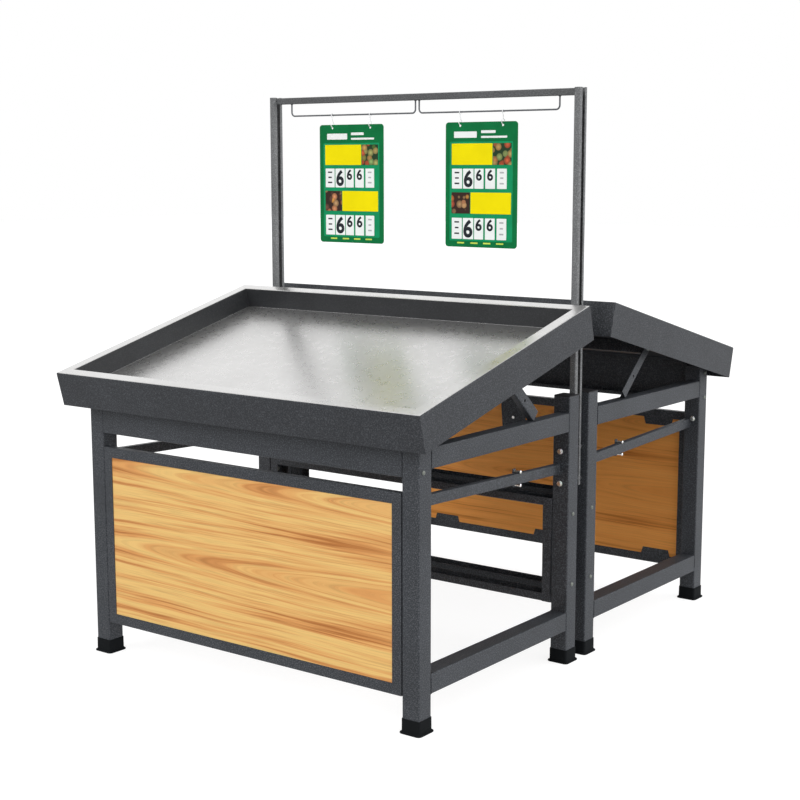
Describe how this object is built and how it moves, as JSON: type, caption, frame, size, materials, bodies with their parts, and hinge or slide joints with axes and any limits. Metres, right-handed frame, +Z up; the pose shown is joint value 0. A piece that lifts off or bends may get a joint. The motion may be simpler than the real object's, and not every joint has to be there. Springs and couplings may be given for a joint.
{
  "type": "produce display rack",
  "caption": "Double-sided produce display rack: sloping sheet trays on square-tube frames back to back, wood end panels, and a sign bar with hanging price boards.",
  "frame": {"origin": "on the floor, under the middle of the whole rack", "axes": "+X along the rack, +Y from the front unit to the rear unit, +Z up"},
  "size_m": [1.312, 1.762, 1.66],
  "materials": {
    "frame_steel": "dark grey fine-textured powder coat, semi-matt",
    "tray_steel": "dark grey powder coat on folded sheet, textured on the skirt and glossy inside the tray",
    "foot_rubber": "black moulded rubber cap",
    "wood_board": "board with a honey-coloured wood-grain face, satin",
    "zinc_bolt": "bright zinc-plated bolts",
    "sign_wire": "grey-coated round wire",
    "hook_wire": "white coated hook",
    "price_board": "green plastic price board with yellow label plates and white number cards"
  },
  "bodies": {
    "root": {"front_outer_leg_left": "frame_steel", "front_ridge_leg_left": "frame_steel", "front_outer_foot_left": "foot_rubber", "front_ridge_foot_left": "foot_rubber", "front_top_rail_left": "frame_steel", "front_mid_rail_left": "frame_steel", "front_bottom_rail_left": "frame_steel", "front_strut_left": "frame_steel", "front_outer_leg_right": "frame_steel", "front_ridge_leg_right": "frame_steel", "front_outer_foot_right": "foot_rubber", "front_ridge_foot_right": "foot_rubber", "front_top_rail_right": "frame_steel", "front_mid_rail_right": "frame_steel", "front_bottom_rail_right": "frame_steel", "front_strut_right": "frame_steel", "front_apron": "frame_steel", "front_back_frame": "frame_steel", "front_panel_frame": "frame_steel", "front_wood_board": "wood_board", "front_tray": "tray_steel", "front_tray_beam": "frame_steel", "rear_outer_leg_left": "frame_steel", "rear_ridge_leg_left": "frame_steel", "rear_outer_foot_left": "foot_rubber", "rear_ridge_foot_left": "foot_rubber", "rear_top_rail_left": "frame_steel", "rear_mid_rail_left": "frame_steel", "rear_bottom_rail_left": "frame_steel", "rear_strut_left": "frame_steel", "rear_outer_leg_right": "frame_steel", "rear_ridge_leg_right": "frame_steel", "rear_outer_foot_right": "foot_rubber", "rear_ridge_foot_right": "foot_rubber", "rear_top_rail_right": "frame_steel", "rear_mid_rail_right": "frame_steel", "rear_bottom_rail_right": "frame_steel", "rear_strut_right": "frame_steel", "rear_apron": "frame_steel", "rear_back_frame": "frame_steel", "rear_panel_frame": "frame_steel", "rear_wood_board": "wood_board", "rear_tray": "tray_steel", "rear_tray_beam": "frame_steel", "sign_post_left": "frame_steel", "post_bolt_left_low": "zinc_bolt", "post_bolt_left_high": "zinc_bolt", "sign_post_right": "frame_steel", "post_bolt_right_low": "zinc_bolt", "post_bolt_right_high": "zinc_bolt", "sign_rail": "frame_steel", "sign_wire_left": "sign_wire", "sign_wire_right": "sign_wire"},
    "hooks_left": {"hook_left_a": "hook_wire", "hook_left_b": "hook_wire"},
    "board_left": {"price_board_left": "price_board"},
    "hooks_right": {"hook_right_a": "hook_wire", "hook_right_b": "hook_wire"},
    "board_right": {"price_board_right": "price_board"}
  },
  "joints": [
    {"name": "hooks_left_slide", "type": "slide", "parent": "root", "child": "hooks_left", "axis": [1, 0, 0], "range_m": [-0.15, 0.115]},
    {"name": "board_left_swing", "type": "hinge", "parent": "hooks_left", "child": "board_left", "pos_m": [-0.258, 0, 1.5701], "axis": [1, 0, 0], "range_deg": [-60, 60]},
    {"name": "hooks_right_slide", "type": "slide", "parent": "root", "child": "hooks_right", "axis": [1, 0, 0], "range_m": [-0.105, 0.17]},
    {"name": "board_right_swing", "type": "hinge", "parent": "hooks_right", "child": "board_right", "pos_m": [0.235, 0, 1.5701], "axis": [1, 0, 0], "range_deg": [-60, 60]}
  ]
}
